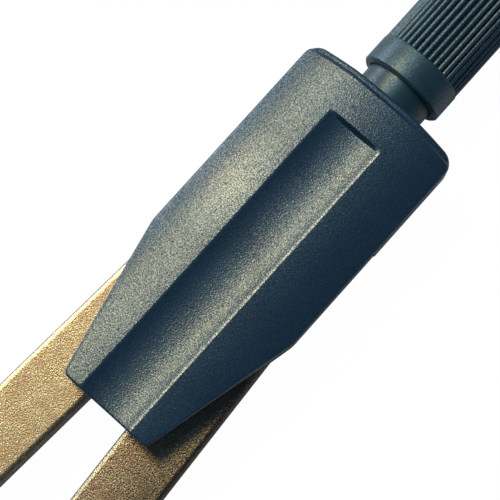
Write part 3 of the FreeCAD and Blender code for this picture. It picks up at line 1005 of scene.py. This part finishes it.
class DIVIDER_OT_thumb_screws(bpy.types.Operator):
    """Make the two knurled thumb screws that hold the needles"""

    bl_idname = "divider.thumb_screws"
    bl_label = "Thumb screws"

    def execute(self, context):
        metal = context.scene.divider_metal
        brass = turned_metal("bright_brass", metal.brass_colour, roughness=0.28)
        radius = metal.thumb_radius
        core = radius - metal.knurl_depth
        shank = metal.clamp_radius
        bevel = 0.25 * MM
        tip = 0.2 * MM
        dimple = 0.15 * MM
        for side in SIDES:
            joint = joint_named(side + "_clamp_turn")
            place = Vector(joint["pos_m"])
            axis = Vector(joint["axis"])
            low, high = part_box(side + "_clamp_screw")
            corners = [Vector((x, y, place.z)) for x in (low.x, high.x) for y in (low.y, high.y)]
            reach = [(corner - place).dot(axis) for corner in corners]
            slope = abs(axis.y) * radius * 2
            outer = max(reach) - slope
            inner = min(reach) + slope
            shoulder = outer - metal.thumb_length
            profile = [(0, inner), (shank - tip, inner), (shank, inner + tip),
                       (shank, shoulder), (core - bevel, shoulder), (core, shoulder + bevel),
                       (core, outer - bevel), (core - bevel, outer), (core * DIMPLE_RIM, outer),
                       (core * DIMPLE_FLOOR, outer - dimple), (0, outer - dimple)]
            name = "thumb_screw_" + side
            screw = lathed(name, profile, brass, (0, 0, 0), steps=SCREW_STEPS)
            ribs_on(screw, brass, {
                "Ribs": metal.knurls, "Sink Radius": core,
                "Width": 2 * math.pi * radius / metal.knurls * KNURL_SHARE,
                "Height": metal.knurl_depth, "Start": shoulder + bevel,
                "Length": metal.thumb_length - 2 * bevel, "Facets": 10,
                "Centre": (0.0, 0.0, 0.0)})
            turn = axis.to_track_quat("Y", "Z").to_matrix().to_4x4()
            screw.data.transform(Matrix.Translation(place) @ turn)
            finish_piece(screw, side + "_clamp_screw", [side + "_clamp_screw"])
        return {"FINISHED"}


class DIVIDER_OT_cover_screws(bpy.types.Operator):
    """Make the screws that hold the two covers together"""

    bl_idname = "divider.cover_screws"
    bl_label = "Cover screws"

    def execute(self, context):
        metal = context.scene.divider_metal
        steel = turned_metal("bright_steel", metal.steel_colour, roughness=0.3)
        room = context.scene.divider_room
        for side in SIDES:
            node = side + "_pivot_screw"
            low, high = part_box(node)
            place = joint_place(side + "_leg_open")
            screw = self.make_screw("pivot_screw_" + side, place, low.z, high.z,
                                    room.pivot_head, PIVOT_SHANK, steel)
            finish_piece(screw, "head", [node])
        low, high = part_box("cover_screws")
        screws = [self.make_screw("cover_screw", cover_screw_place(side, room), low.z, high.z,
                                  room.cover_head, COVER_SHANK, steel) for side in SIDES]
        pair = joined("cover_screw_pair", screws)
        finish_piece(pair, "head", ["cover_screws"])
        return {"FINISHED"}

    def make_screw(self, name, place, low, high, head, shank, steel):
        """A pan-head screw from its head at low to its tip at high, with a cross recess."""
        thick = 0.9 * MM
        dome = 0.35 * MM
        tip = 0.2 * MM
        profile = [(0, low)]
        for share in (0.25, 0.5, 0.75, 1.0):
            profile.append((head * share * DOME_WIDTH, low + dome * share ** 3 * DOME_FALL))
        profile += [(head, low + dome), (head, low + thick), (shank, low + thick),
                    (shank, high - tip), (shank - tip, high), (0, high)]
        screw = lathed(name, profile, steel, (place.x, place.y, 0), axis="Z", steps=64)
        middle = place.to_2d()
        reach = head * 0.58
        width = head * 0.13
        above = 0.2 * MM
        depth = 0.55 * MM
        blades = []
        for turn in (math.radians(45), math.radians(135)):
            along = Vector((math.cos(turn), math.sin(turn)))
            across = Vector((-along.y, along.x))
            corners = [middle + along * a * reach + across * b * width for a, b in CORNERS]
            blades.append(prism(corners, low - above, low + depth))
        return cut_away(screw, blades)


class DIVIDER_OT_inner_pieces(bpy.types.Operator):
    """Give the legs, needles, bushes, nuts and washers their finishes"""

    bl_idname = "divider.inner_pieces"
    bl_label = "Legs and inner pieces"

    def execute(self, context):
        metal = context.scene.divider_metal
        brass = bpy.data.materials["bright_brass"]
        finishes = {
            "leg": grained_metal("pebbled_leg", metal.leg_colour, metal.leg_grain,
                                 roughness=0.42),
            "needle": turned_metal("polished_needle", metal.steel_colour, roughness=0.18),
            "slide_washer": waxy_nylon("waxy_washer"),
            "spring_washer": bpy.data.materials["bright_steel"],
            "pivot_bush": brass,
            "threaded_insert": brass,
        }
        for side in SIDES:
            for kind, material in finishes.items():
                dress(side + "_" + kind, material)
        # Painted shade: the right leg gets a darker copy of the leg metal that darkens further
        # towards its outer side.
        darker = tinged(shade(metal.leg_colour, metal.right_leg_painted_shade), PAINTED_SHADE_TINT)
        dress("right_leg", grained_metal("shaded_leg", darker, SHADED_GRAIN * metal.leg_grain,
                                         roughness=0.36, outer_painted_shade=0.5))
        return {"FINISHED"}


def dress(node, material):
    """Gives a node of the frame a better material."""
    obj = frame["nodes"][node]
    if obj.material_slots:
        for slot in obj.material_slots:
            slot.material = material
    else:
        obj.data.materials.append(material)


class DIVIDER_OT_stage(bpy.types.Operator):
    """Set up the floor, the lamps, the surroundings and the camera"""

    bl_idname = "divider.stage"
    bl_label = "Stage"

    def execute(self, context):
        stage = context.scene.divider_stage
        scene = context.scene
        scene.view_settings.view_transform = "Standard"
        self.make_floor()
        self.make_world(scene, stage)
        self.make_lamps(scene, stage)
        self.make_camera(scene, stage)
        return {"FINISHED"}

    def make_floor(self):
        """The floor, white to the camera, that keeps the shadow."""
        corners = [(x * FLOOR_REACH, y * FLOOR_REACH, 0) for x, y in CORNERS]
        material = bpy.data.materials.new("pale_floor")
        material.use_nodes = True
        tree = material.node_tree
        tree.nodes.clear()
        paint = put(tree, "ShaderNodeBsdfDiffuse", Color=FLOOR_PAINT)
        glow = put(tree, "ShaderNodeEmission", Color=WHITE, Strength=FLOOR_GLOW)
        path = tree.nodes.new("ShaderNodeLightPath").outputs
        mirrored = maths(tree, "MULTIPLY", path["Is Glossy Ray"], MIRRORED_SHARE)
        seen = maths(tree, "MAXIMUM", path["Is Camera Ray"], mirrored)
        share = maths(tree, "MULTIPLY", seen, SEEN_SHARE)
        put(tree, "ShaderNodeOutputMaterial", Surface=blended(tree, share, paint, glow))
        floor = new_object("floor", corners, [[0, 1, 2, 3]], material)

    def make_world(self, scene, stage):
        """Dim blue surroundings that are white to the camera."""
        world = bpy.data.worlds.new("studio")
        scene.world = world
        world.use_nodes = True
        tree = world.node_tree
        dim = tree.nodes["Background"]
        give(tree, dim, Color=SKY_TINT, Strength=stage.world_level)
        white = put(tree, "ShaderNodeBackground", Color=WHITE, Strength=BACKDROP_GLOW)
        seen = tree.nodes.new("ShaderNodeLightPath").outputs["Is Camera Ray"]
        give(tree, tree.nodes["World Output"], Surface=blended(tree, seen, dim, white))

    def make_lamps(self, scene, stage):
        """The soft lamps, all turned to the camera's aim."""
        for name, (place, times_long, colour) in LAMPS.items():
            light = bpy.data.lights.new(name, "AREA")
            light.shape = "RECTANGLE"
            light.size = stage.lamp_width
            light.size_y = times_long * stage.lamp_length
            light.energy = getattr(stage, name + "_power")
            light.color = colour
            lamp = bpy.data.objects.new(name, light)
            back = Vector(place) - Vector(stage.aim)
            lamp.matrix_world = Matrix.Translation(place) @ facing(back, 0.0)
            scene.collection.objects.link(lamp)

    def make_camera(self, scene, stage):
        """The camera, which leans towards the legs and to the right."""
        back = Vector((math.tan(stage.side_tilt), -math.tan(stage.tilt), 1.0)).normalized()
        data = bpy.data.cameras.new("camera")
        data.sensor_fit = "HORIZONTAL"
        data.sensor_width = SENSOR_WIDTH
        data.lens = stage.lens
        data.clip_start = NEAR_CLIP
        camera = bpy.data.objects.new("camera", data)
        place = Vector(stage.aim) + back * stage.distance
        camera.matrix_world = Matrix.Translation(place) @ facing(back, stage.roll)
        scene.collection.objects.link(camera)
        scene.camera = camera


def facing(back, roll):
    """Turns an object so that it looks against a direction, with the tool's middle line at an
    angle to its own upright."""
    back = back.normalized()
    along = Vector((0, 1, 0))
    along = (along - back * along.dot(back)).normalized()
    across = along.cross(back)
    right = across * math.cos(roll) + along * math.sin(roll)
    up = along * math.cos(roll) - across * math.sin(roll)
    return Matrix((right, up, back)).transposed().to_4x4()


class DIVIDER_PT_panel(bpy.types.Panel):
    """Sizes, colours and build steps of the divider"""

    bl_idname = "DIVIDER_PT_panel"
    bl_label = "Drafting divider"
    bl_space_type = "VIEW_3D"
    bl_region_type = "UI"
    bl_category = "Divider"

    def draw(self, context):
        scene = context.scene
        for name, group, operators in STEPS:
            box = self.layout.box()
            for setting in group.__annotations__:
                box.prop(getattr(scene, name), setting)
            for operator in operators:
                box.operator(operator.bl_idname)


STEPS = (
    ("divider_head", HeadSettings, (DIVIDER_OT_head_covers,)),
    ("divider_room", RoomSettings, ()),
    ("divider_handle", HandleSettings, (DIVIDER_OT_neck, DIVIDER_OT_grip)),
    ("divider_metal", MetalSettings, (DIVIDER_OT_thumb_screws, DIVIDER_OT_cover_screws,
                                      DIVIDER_OT_inner_pieces)),
    ("divider_stage", StageSettings, (DIVIDER_OT_stage,)),
)


def register():
    for name, group, operators in STEPS:
        for part in (group, *operators):
            bpy.utils.register_class(part)
        setattr(bpy.types.Scene, name, PointerProperty(type=group))
    bpy.utils.register_class(DIVIDER_PT_panel)


def unregister():
    bpy.utils.unregister_class(DIVIDER_PT_panel)
    for name, group, operators in STEPS:
        delattr(bpy.types.Scene, name)
        for part in (*operators, group):
            bpy.utils.unregister_class(part)


def main():
    register()
    bpy.ops.divider.head_covers()
    bpy.ops.divider.neck()
    bpy.ops.divider.grip()
    bpy.ops.divider.thumb_screws()
    bpy.ops.divider.cover_screws()
    bpy.ops.divider.inner_pieces()
    bpy.ops.divider.stage()


if __name__ == "__main__":
    main()
